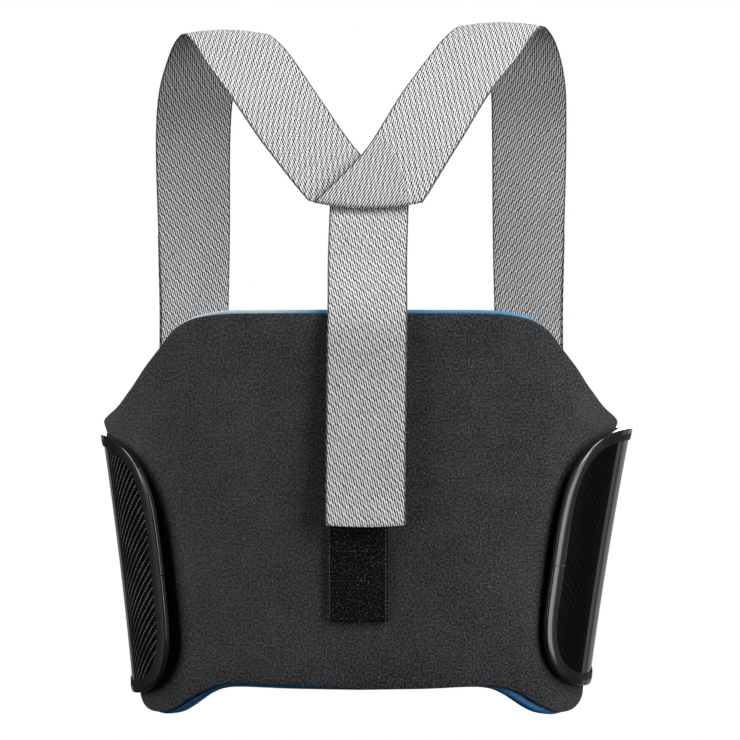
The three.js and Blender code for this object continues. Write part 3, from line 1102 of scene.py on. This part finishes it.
@dataclass
class Wrap:
    """Padded wrap: black knit cover, blue foam core, black lining, front band and loop patch."""

    torso: Torso
    slack: Slack
    cover: float = 1.8
    foam: float = 7.0
    lining: float = 1.6
    gap: float = 0.4
    knit_edge: float = 0.6
    foam_edge: float = 1.6
    plate_edge: float = 0.5
    front_split: float = 8.0
    left_hem_drift: float = 1.3
    columns: int = 208
    rows: int = 52
    outline: tuple[OutlineRow, ...] = (
        OutlineRow(0, 235.6, 2.2, -1.6, 0, 0.8, 0.8),
        OutlineRow(9, 235.6, 2.2, -1, 0, 2, 0.2),
        OutlineRow(17.7, 235.2, 2.2, -0.3, 0, 2.4, 0.7),
        OutlineRow(20, 234, 2, -1.5, -0.2, 2.5, 1.4),
        OutlineRow(22, 232, 1.5, -4.3, -0.5, 2.4, 3),
        OutlineRow(24.5, 226, 0.8, -9.9, -0.6, 3.1, 5),
        OutlineRow(27, 214, 0.3, -15.3, -0.5, 2.7, 4.5),
        OutlineRow(29.5, 202.5, 0, -18.9, -0.2, 1.9, 3.6),
        OutlineRow(33, 187, 0, -20.5, 0, 1.1, 1.3),
        OutlineRow(37.7, 174, 0, -18.4, 0, 0, 0),
        OutlineRow(45, 166.2, 0, -12, 0, 0, 0),
        OutlineRow(52, 164.5, 0, -8.5, 0, 0, 0),
        OutlineRow(61, 172, 0, -5, 0, 0, 0),
        OutlineRow(70, 194, 0.6, -1, 0, 0, 0),
        OutlineRow(80, 207, 1.6, 0, 0, 0, 0),
        OutlineRow(90, 210, 2.2, 0, 0, 0, 0),
    )
    side_share: float = 45.0
    drift_end: float = 48.0
    girth_level: float = 100.0
    cut_height: float = 256.0
    mean_height: float = 200.0
    patch_shift: float = -1.5
    patch: tuple[float, float, float] = (38.0, 42.0, 150.0)
    patch_thick: float = 2.0
    band: tuple[float, float, float] = (150.0, 60.0, 150.0)
    band_thick: float = 2.5

    def layer(
        self,
        rise: Callable[[OutlineRow], float],
        cut_back: Callable[[OutlineRow, Side], float],
        inner: float,
        outer: float,
        radius: float,
    ) -> Mesh:
        """Cuts one layer flat and gives it its thickness.

        Args:
            rise: how far its upper edge is raised at a row of the outline.
            cut_back: how far its hem is cut back at a row, on a side.
            inner: offset of its inner face from the torso.
            outer: offset of its outer face.
            radius: radius of its edges.

        Returns:
            The layer in its flat form.
        """
        paths = [
            SmoothPath([(r.around, r.top + rise(r), r.hem + cut_back(r, side)) for r in self.outline])
            for side in (Side.LEFT, Side.RIGHT)
        ]
        last = self.outline[-1].around

        def cut(flat: Array) -> Array:
            """Gives the layer's outline to a square grid."""
            stations, where = np.unique(np.abs(flat[:, 0]).round(6), return_inverse=True)
            left, right = (path.points(stations)[where] for path in paths)
            around, top, hem = np.where(flat[:, :1] < 0, left, right).T
            share = (flat[:, 1] + 1) / 2
            z = hem + (top - hem) * share
            half = self.torso.half_girth(z)
            end = half - self.front_split / 2
            past = np.clip((around - self.side_share) / (last - self.side_share), 0, None)
            stretch = 1 + past * (end / half / (last / 100) - 1)
            low = np.where(flat[:, 0] < 0, 1 - share, 0)
            swing = np.sin(math.pi * np.minimum(around / self.drift_end, 1))
            distance = (around + self.left_hem_drift * low * swing) / 100 * half * stretch
            return np.stack([np.sign(flat[:, 0]) * distance, z, 0 * z], axis=1)

        bm = grid(self.columns, self.rows)
        move(bm, cut)
        thicken(bm, inner, outer, radius, 3)
        return bm

    def on_torso(self, flat: Array) -> Array:
        """Places flat rows on the torso with the wrap's soft unevenness."""
        lift = self.slack.lift(flat[:, 0], flat[:, 1])
        return self.torso.place(flat + np.stack([0 * lift, 0 * lift, lift], axis=1))

    def plate(
        self, cells: tuple[int, int], centre: Placer, size: tuple[float, float, float], thick: float
    ) -> Mesh:
        """Cuts a rectangle that lies on the wrap.

        Args:
            cells: faces across and along.
            centre: gives the distance round of its middle at heights.
            size: its width, lower edge and upper edge.
            thick: its thickness.

        Returns:
            The rectangle in its flat form.
        """
        width, low, high = size

        def cut(flat: Array) -> Array:
            """Gives the rectangle its size."""
            z = low + (high - low) * (flat[:, 1] + 1) / 2
            return np.stack([centre(z) + width / 2 * flat[:, 0], z, 0 * z], axis=1)

        bm = grid(*cells)
        move(bm, cut)
        thicken(bm, self.gap, self.gap + thick, self.plate_edge, 2)
        return bm

    def lay(self, name: str, bm: Mesh, finish: Finish, slot: Slot, node: str) -> bpy.types.Object:
        """Lays a flat piece on the torso and makes it, as piece does."""
        settle(bm, self.on_torso)
        return piece(name, bm, finish, node)

    def build(self) -> None:
        """Builds and dresses the wrap's pieces."""
        foam_outer = -self.cover - self.gap
        foam_inner = foam_outer - self.foam
        lining_outer = foam_inner - self.gap
        lining_inner = lining_outer - self.lining
        girth = 2 * float(self.torso.half_girth(np.array([self.girth_level]))[0]) * MM

        def bare(row: OutlineRow, side: Side) -> float:
            """How far the cover leaves the foam bare at the hem."""
            return row.bare_left if side is Side.LEFT else row.bare_right

        bm = self.layer(lambda row: 0.0, bare, -self.cover, 0, self.knit_edge)
        cover = self.lay("cover", bm, COVER_KNIT, Slot.COVER, "outer_cover")
        bm = self.layer(
            lambda row: row.rim, lambda row, side: row.lip, foam_inner, foam_outer, self.foam_edge
        )
        foam = self.lay("foam", bm, BLUE_FOAM, Slot.FOAM, "foam_core")
        bm = self.layer(
            lambda row: 0.0, lambda row, side: 0.0, lining_inner, lining_outer, self.knit_edge
        )
        lining = self.lay("lining", bm, LINING_KNIT, Slot.LINING, "inner_lining")
        bm = self.plate((40, 24), self.torso.half_girth, self.band, self.band_thick)
        band = self.lay("front_band", bm, LOOPS, Slot.TAPE, "front_closure")
        bm = self.plate((26, 72), lambda z: 0 * z + self.patch_shift, self.patch, self.patch_thick)
        patch = self.lay("loop_patch", bm, LOOPS, Slot.TAPE, "hook_patch")


# The side guards


@dataclass
class SideGuard:
    """Glossy side shell with rubber edging round it."""

    torso: Torso
    side: Side
    inset: float
    lift: float
    forward: float
    flare: float
    lean: float
    thick: float = 1.6
    standoff: float = 2.8
    shell_edge: float = 0.4
    reach: float = 92.0
    level: float = 60.0
    up: float = 98.7
    down: float = 68.0
    hem_rise: float = 0.07
    shear: float = 0.04
    top_squareness: float = 4.6
    low_squareness: float = 3.7
    trim_wall: float = 0.8
    trim_lip: float = 5.6
    trim_edge: float = 2.4
    trim_slack: float = 0.5
    trim_fall: float = 0.3
    trim_ridge: float = 3.6
    trim_notch: float = 0.22
    trim_seam: float = 0.25
    trim_length: float = 900.0
    trim_girth: float = 30.0
    seam_turn: float = 0.02
    turn_step: float = 0.002
    arc_points: int = 7
    cells: int = 72
    trim_steps: int = 300

    def pattern(self, p: Array, q: Array) -> Array:
        """Finds points of the shell's flat pattern, a rounded square that leans to the back.

        Args:
            p: places across the square, from -1 to 1.
            q: places up the square, from -1 to 1.

        Returns:
            Rows of distance round from the side line and height from the level.
        """
        power = np.where(q > 0, self.top_squareness, self.low_squareness)
        most = np.maximum(np.maximum(np.abs(p), np.abs(q)), 1e-9)
        bulge = (np.abs(p) / most) ** power + (np.abs(q) / most) ** power
        round_in = np.maximum(bulge, 1) ** (-1 / power)
        y = q * round_in * np.where(q > 0, self.up, self.down * (1 - self.hem_rise * (1 + p)))
        return np.stack([p * round_in * self.reach - self.shear * y, y], axis=1)

    def on_side(self, flat: Array) -> Array:
        """Places flat rows over the side of the torso, with the back edge flared off it.

        Args:
            flat: rows of distance round from the side line, height from the level and offset.

        Returns:
            Rows on the object.
        """
        z = self.level + flat[:, 1]
        distance = self.torso.half_girth(z) / 2 + flat[:, 0] + self.forward
        stand = self.flare * np.clip(-flat[:, 0] / self.reach, 0, None) ** 2
        rows = self.torso.place(np.stack([distance, z, flat[:, 2] + stand], axis=1))
        foot = np.array([self.level - self.down])
        side_line = float(self.torso.half_girth(foot)[0]) / 2
        pivot = self.torso.place(np.array([[side_line, foot[0], 0.0]]))[0]
        sign = self.side.value
        turn = np.array(Matrix.Rotation(sign * math.radians(self.lean), 3, "Y"))
        local = (rows - pivot) * np.array([sign, 1, 1])
        shift = np.array([sign * (pivot[0] - self.inset), pivot[1], pivot[2] + self.lift])
        return local @ turn.T + shift

    def shell(self) -> None:
        """Builds the shell."""
        bm = grid(self.cells, self.cells)
        move(bm, lambda flat: np.column_stack([self.pattern(flat[:, 0], flat[:, 1]), flat[:, 2]]))
        thicken(bm, self.standoff, self.standoff + self.thick, self.shell_edge, 2)
        settle(bm, self.on_side)
        word = self.side.name.lower()
        piece("shell_" + word, bm, CARBON[self.side], "carbon_shell_" + word)

    def section(self) -> Array:
        """Closed section of the edging: two facets that meet in a notched ridge, and a slot.

        Returns:
            Rows of the place out past the shell's edge and the offset off the torso.
        """
        low = self.standoff - self.trim_slack
        high = self.standoff + self.thick + self.trim_slack
        under, over = low - self.trim_wall, high + self.trim_wall
        lip, edge, inner = -self.trim_lip, self.trim_edge, self.trim_slack
        fall = over - self.trim_fall
        ridge = edge - self.trim_ridge
        turns = (
            (lip, high, 0.2), (lip, fall, 0.4), (ridge, over, 0.9),
            (edge - 0.2, fall, 0.8), (edge, under, 0.5), (lip, under, 0.3),
            (lip, low, 0.2), (inner, low, 0.3), (inner, high, 0.3),
        )
        places = np.array(turns)[:, :2]
        rows = []
        for i, (*_, radius) in enumerate(turns):
            here = places[i]
            back, ahead = places[i - 1] - here, places[(i + 1) % len(turns)] - here
            back, ahead = back / np.linalg.norm(back), ahead / np.linalg.norm(ahead)
            middle = here + radius * (back + ahead)
            for k, angle in enumerate(np.linspace(0, math.pi / 2, self.arc_points)):
                notched = here[0] == ridge and k == self.arc_points // 2
                arm = radius - (self.trim_notch if notched else 0)
                rows.append(middle - arm * (math.cos(angle) * ahead + math.sin(angle) * back))
        return np.array(rows)

    def edge_at(self, turn: Array) -> Array:
        """Finds the edge of the shell's pattern.

        Args:
            turn: turns round it, from 0 to 1.

        Returns:
            Rows of the pattern.
        """
        bearing = math.pi - 2 * math.pi * turn
        most = np.maximum(np.abs(np.cos(bearing)), np.abs(np.sin(bearing)))
        return self.pattern(np.cos(bearing) / most, np.sin(bearing) / most)

    def edging(self) -> None:
        """Builds the edging, led once round the shell from one side of its butt seam to the other."""
        section = self.section()
        count = len(section)
        seam = self.trim_seam / (2 * math.pi * self.up)

        def lead(flat: Array) -> Array:
            """Leads the section round the shell's edge."""
            turn = self.seam_turn + seam + (1 - 2 * seam) * (flat[:, 1] + 1) / 2
            step = self.edge_at(turn + self.turn_step) - self.edge_at(turn - self.turn_step)
            step /= np.linalg.norm(step, axis=1)[:, None]
            out, offset = section[np.rint((flat[:, 0] + 1) / 2 * count).astype(int) % count].T
            x, y = self.edge_at(turn).T
            return self.on_side(np.stack([x - step[:, 1] * out, y + step[:, 0] * out, offset], axis=1))

        bm = grid(count, self.trim_steps)
        half = np.array([self.trim_length, self.trim_girth, 0.0]) / 2
        settle(bm, lead, lambda flat: half * flat[:, (1, 0, 2)])
        bmesh.ops.remove_doubles(bm, verts=bm.verts[:], dist=0.001)
        ends = [edge for edge in bm.edges if edge.is_boundary]
        bmesh.ops.holes_fill(bm, edges=ends, sides=0)
        for edge in ends:
            edge.smooth = False
        word = self.side.name.lower()
        piece("edging_" + word, bm, RUBBER, "shell_trim_" + word)

    def build(self) -> None:
        """Builds and dresses the shell and its edging."""
        self.shell()
        self.edging()


# The webbing


@dataclass
class Ribbon:
    """Strip of webbing along rows of level sections: x, y, z, half width, yaw and curl."""

    rows: list[tuple[float, ...]]
    half: float = 25.0
    thick: float = 1.2
    edge: float = 0.42
    columns: int = 14
    spacing: float = 2.5
    least_rows: int = 8
    bow_reach: float = 20.0
    samples: int = 1400
    fold: tuple[int, int] | None = None
    table: dict[str, Array] = field(default_factory=dict)

    def __post_init__(self) -> None:
        """Measures the strip along its run."""
        shares = np.linspace(0, 1, self.samples)
        path = SmoothPath([row[:3] for row in self.rows])
        half, yaw, curl = SmoothPath([row[3:] for row in self.rows]).points(shares).T
        centre = path.points(shares)
        delta = 1e-4
        ahead, behind = np.minimum(shares + delta, 1), np.maximum(shares - delta, 0)
        tangent = path.points(ahead) - path.points(behind)
        tangent /= np.linalg.norm(tangent, axis=1)[:, None]
        run = np.concatenate([[0], np.cumsum(np.linalg.norm(np.diff(centre, axis=0), axis=1))])
        yaw = np.radians(yaw)
        across = np.stack([np.cos(yaw), np.sin(yaw), 0 * yaw], axis=1)
        face = np.cross(tangent, across)
        face /= np.linalg.norm(face, axis=1)[:, None]
        slant = (tangent * across).sum(axis=1)
        if self.fold:
            marks = np.array(self.fold) / (len(self.rows) - 1)
            inside = (shares > marks[0]) & (shares < marks[1])
            slant[inside] = np.interp(shares[inside], shares[~inside], slant[~inside])
        self.table = {
            "share": shares, "run": run, "centre": centre, "across": across, "face": face,
            "half": half, "curl": curl, "slant": slant,
        }

    def ends(self, start: float, end: float) -> Array:
        """Lengths along the strip at two shares of its path."""
        return np.interp([start, end], self.table["share"], self.table["run"])

    def read(self, name: str, run: Array) -> Array:
        """Reads a measure at lengths along the strip.

        Args:
            name: name of the measure.
            run: lengths along the strip.

        Returns:
            A number or a row for each length.
        """
        values = self.table[name]
        if values.ndim == 1:
            return np.interp(run, self.table["run"], values)
        return np.stack([np.interp(run, self.table["run"], part) for part in values.T], axis=1)

    def build(self, start: float, end: float, offset: float, bow: float = 0.0) -> Mesh:
        """Cuts the strip and lays it along its path.

        Args:
            start: share of the path where it starts.
            end: share where it ends.
            offset: how far its face is moved off the path.
            bow: how far the middle of its far end hangs below the corners.

        Returns:
            The strip on the object.
        """
        low, high = self.ends(start, end)

        def cut(flat: Array) -> Array:
            """Gives the strip its width and length."""
            run = low + (high - low) * (flat[:, 1] + 1) / 2
            return np.stack([self.half * flat[:, 0], run, flat[:, 2]], axis=1)

        def lay(flat: Array) -> Array:
            """Lays flat rows along the path."""
            across, run, lift = flat[:, 0] / self.half, flat[:, 1], flat[:, 2]
            near_end = np.clip((run - high + self.bow_reach) / self.bow_reach, 0, 1)
            run = run + bow * (1 - across**2) * near_end
            beyond = np.clip(run - self.table["run"][-1], 0, None)[:, None]
            rows = self.read("centre", run)
            rows += beyond * np.array([0, 0, -1])
            rows += (self.read("half", run) * across)[:, None] * self.read("across", run)
            rows += lift[:, None] * self.read("face", run)
            rows[:, 2] += self.read("curl", run) * across**2
            return rows

        def weave(flat: Array) -> Array:
            """Place of flat rows in the weave, which runs with the strip."""
            width = flat[:, 0] / self.half * self.read("half", flat[:, 1])
            shear = width * self.read("slant", flat[:, 1])
            return np.stack([flat[:, 0], flat[:, 1] + shear, flat[:, 2]], axis=1)

        bm = grid(self.columns, max(self.least_rows, round((high - low) / self.spacing)))
        move(bm, cut)
        thicken(bm, offset - self.thick / 2, offset + self.thick / 2, self.edge, 2)
        settle(bm, lay, weave)
        return bm


@dataclass
class Braces:
    """Webbing braces: one strip over both shoulders, folded at the V, and an upright strip."""

    half: float = 25.0
    thick: float = 1.2
    gap: float = 0.6
    shoulder_rise: float = 2.5
    rise_span: Span = (240.0, 420.0)
    right_spread: float = 3.0
    crest_span: Span = (370.0, 410.0)
    fold_layer: float = 2.9
    fold_span: Span = (376.0, 305.0)
    fold_drift: float = 3.0
    turnback_rows: int = 3
    end_bow: float = 1.2
    shoulder: tuple[tuple[float, ...], ...] = (
        (116, 99.5, 166, 25, 24, 0),
        (116, 102.5, 206, 25, 24, 0),
        (115.6, 101, 240, 25, 23, 0),
        (115.3, 90, 293, 25, 12, 0),
        (114.5, 64, 364, 25.5, 0, 0),
        (111, 45, 391, 25.5, 0, 0),
        (104, 28, 410.5, 26, 0, -0.6),
        (97, 10, 422.6, 26.5, 0, -1.8),
        (90, -3, 426.8, 27.5, 0, -2.6),
        (81, -17, 418, 28.5, 0, -1.8),
        (72, -29, 403.5, 29.5, 0, -0.6),
        (54, -54, 376, 28.5, 0, 0),
        (31, -77, 340, 28.5, 0, 0),
    )
    fold: tuple[tuple[float, ...], ...] = (
        (3, -93, 303.6, 36, 0, 3.6),
        (4.4, -94.6, 301.8, 32, 0, 4.4),
        (4.8, -95.9, 302.4, 34.5, 0, 3.6),
    )
    upright: tuple[tuple[float, ...], ...] = (
        (5.6, -75.4, 334),
        (5.6, -89.4, 307),
        (5.2, -95.2, 296),
        (4.4, -106, 268),
        (4.4, -116.6, 242),
        (4.2, -119.6, 228),
        (3.8, -118.8, 190),
        (3.4, -118.4, 150),
        (3.2, -118.4, 122),
        (3.2, -119.4, 103),
    )

    @staticmethod
    def share(z: float, span: Span) -> float:
        """How far a height is along a span of heights, from 0 to 1."""
        return min(max((z - span[0]) / (span[1] - span[0]), 0), 1)

    def shoulder_rows(self, side: Side) -> list[tuple[float, ...]]:
        """Rows of one shoulder, from the front end to the V.

        Args:
            side: side that the shoulder is on.

        Returns:
            Rows of x, y, z, half width, yaw and curl.
        """
        sign = side.value
        right = side is Side.RIGHT
        made = []
        for x, y, z, half, yaw, curl in self.shoulder:
            near = self.share(z, self.fold_span) if y < 0 else 0
            crest = self.share(z, self.crest_span) if right else 0
            made.append((
                sign * x + self.fold_drift * near + self.right_spread * crest,
                y - (self.fold_layer * near if right else 0),
                z + sign * self.shoulder_rise * self.share(z, self.rise_span),
                half,
                -sign * yaw,
                curl,
            ))
        return made

    def build(self) -> None:
        """Builds and dresses the webbing."""
        left, right = self.shoulder_rows(Side.LEFT), self.shoulder_rows(Side.RIGHT)
        rows = [*left, *self.fold, *right[::-1]]
        strip = Ribbon(rows, self.half, self.thick, fold=(len(left) - 1, len(left) + len(self.fold)))
        bm = strip.build(0, 1, 0)
        strap = piece("shoulder_webbing", bm, WEBBING, "shoulder_strap")
        share = self.turnback_rows / (len(rows) - 1)
        layer = self.thick + self.gap
        for word, start, end, offset in (("left", 0, share, layer), ("right", 1 - share, 1, -layer)):
            bm = strip.build(start, end, offset)
            back = piece("turnback_" + word, bm, WEBBING, "strap_turnback_" + word)
        strip = Ribbon([(*row, self.half, 0, 0) for row in self.upright], self.half, self.thick)
        bm = strip.build(0, 1, 0, self.end_bow)
        upright = piece("upright_webbing", bm, UPRIGHT_WEBBING, "back_strap")


# Light, floor and camera


@dataclass(frozen=True)
class SoftBox:
    """Soft rectangular light aimed at the middle of the vest."""

    name: str
    place: tuple[float, float, float]
    size: Span
    watts: float
    aim: tuple[float, float, float] = (0.0, 0.0, 0.2)

    def build(self) -> None:
        """Builds the light."""
        data = bpy.data.lights.new(self.name, "AREA")
        data.shape = "RECTANGLE"
        data.size, data.size_y = self.size
        data.energy = self.watts
        made = bpy.data.objects.new(self.name, data)
        made.location = self.place
        towards = Vector(self.aim) - Vector(self.place)
        made.rotation_euler = towards.to_track_quat("-Z", "Y").to_euler()
        bpy.context.scene.collection.objects.link(made)


class Band(NamedTuple):
    """Change of the room's glow: the depth where it starts, where it ends and how much it is."""

    start: float
    end: float
    change: float


@dataclass
class Studio:
    """White room, pale floor, soft lights and the camera."""

    floor_level: float = -0.32
    floor_radius: float = 2.0
    floor_border: float = 0.4
    floor_fade: Span = (0.5, 1.95)
    lens: float = 155.7
    sensor: float = 36.0
    eye: tuple[float, float, float] = (0.006, -2.118, 0.2)
    dim: float = 0.014
    right_bands: tuple[Band, ...] = (
        Band(0.685, 0.695, 0.286), Band(0.78, 0.79, -0.18), Band(0.845, 0.855, 0.2),
    )
    left_bands: tuple[Band, ...] = (
        Band(-0.5, -0.4, 0.12), Band(0.0, 0.1, -0.12), Band(0.915, 0.925, 0.186),
    )
    lights: tuple[SoftBox, ...] = (
        SoftBox("key_right", (2.28, -1.11, 1.38), (1.3, 3.5), 113.0),
        SoftBox("low_right", (2.28, -1.11, -0.48), (1.3, 0.5), 8.0),
        SoftBox("fill_left", (-2.42, -0.79, 1.38), (1.3, 3.5), 89.0),
        SoftBox("front", (0.0, 1.9, 0.75), (1.0, 1.0), 24.0),
    )

    def floor(self) -> None:
        """Builds the floor, which fades into the white room at its rim."""
        bm = bmesh.new()
        bmesh.ops.create_circle(bm, cap_ends=True, segments=96, radius=self.floor_radius)
        bmesh.ops.inset_region(bm, faces=bm.faces[:], thickness=self.floor_border)
        bmesh.ops.translate(bm, vec=(0, 0, self.floor_level), verts=bm.verts[:])
        mesh = bpy.data.meshes.new("floor")
        bm.to_mesh(mesh)
        bm.free()
        made = bpy.data.objects.new("floor", mesh)
        bpy.context.scene.collection.objects.link(made)
        material = bpy.data.materials.new("pale_floor")
        material.use_nodes = True
        material.node_tree.nodes.clear()
        graph = Graph(material.node_tree)
        place = graph.put("TexCoord").outputs["Object"]
        level = graph.vector("MULTIPLY", place, (1.0, 1.0, 0.0)).outputs[0]
        far = graph.vector("LENGTH", level).outputs["Value"]
        tone = graph.noise(place, 1.5, 2.0)
        colour = graph.blend(tone, (0.86, 0.86, 0.86), (0.9, 0.9, 0.9))
        alpha = graph.ease(far, *self.floor_fade, 1.0, 0.0)
        values = {"Roughness": 0.7, "Base Color": colour, "Alpha": alpha}
        shader = graph.put("BsdfPrincipled", values)
        graph.put("OutputMaterial", {"Surface": shader.outputs[0]})
        mesh.materials.append(material)
        made.visible_diffuse = False
        made.visible_glossy = False

    def room(self) -> None:
        """Lights the room: dim, with bright screens and walls round the front of the vest."""
        world = bpy.data.worlds.new("white_room")
        bpy.context.scene.world = world
        world.use_nodes = True
        world.node_tree.nodes.clear()
        graph = Graph(world.node_tree)
        towards = graph.put("TexCoord").outputs["Generated"]
        across, depth, _ = graph.split(towards)
        glows = []
        for bands in (self.left_bands, self.right_bands):
            glow: object = self.dim
            for band in bands:
                glow = graph.plus(glow, graph.ease(depth, band.start, band.end, 0.0, band.change))
            glows.append(glow)
        glow = graph.mix(graph.math("GREATER_THAN", across, 0.0), *glows)
        seen = graph.put("LightPath").outputs["Is Camera Ray"]
        strength = graph.math("MAXIMUM", glow, seen)
        back = graph.put("Background", {"Color": (1.0, 1.0, 1.0, 1.0), "Strength": strength})
        graph.put("OutputWorld", {"Surface": back.outputs[0]})

    def camera(self) -> None:
        """Sets the camera level behind the vest."""
        data = bpy.data.cameras.new("camera")
        data.lens = self.lens
        data.sensor_width = self.sensor
        made = bpy.data.objects.new("camera", data)
        made.location = self.eye
        made.rotation_euler = (math.pi / 2, 0, 0)
        bpy.context.scene.collection.objects.link(made)
        bpy.context.scene.camera = made

    def build(self) -> None:
        """Builds the studio."""
        bpy.context.scene.view_settings.view_transform = "Standard"
        self.camera()
        self.room()
        self.floor()
        for light in self.lights:
            light.build()


def main() -> None:
    """Builds the studio and the vest."""
    logging.basicConfig(level=logging.INFO, format="%(message)s")
    torso = Torso()
    Studio().build()
    Wrap(torso, Slack()).build()
    SideGuard(torso, Side.LEFT, inset=0.8, lift=-2.5, forward=1.0, flare=4.0, lean=0.0).build()
    SideGuard(torso, Side.RIGHT, inset=0.0, lift=2.5, forward=-5.5, flare=0.0, lean=2.4).build()
    Braces().build()


if __name__ == "__main__":
    main()
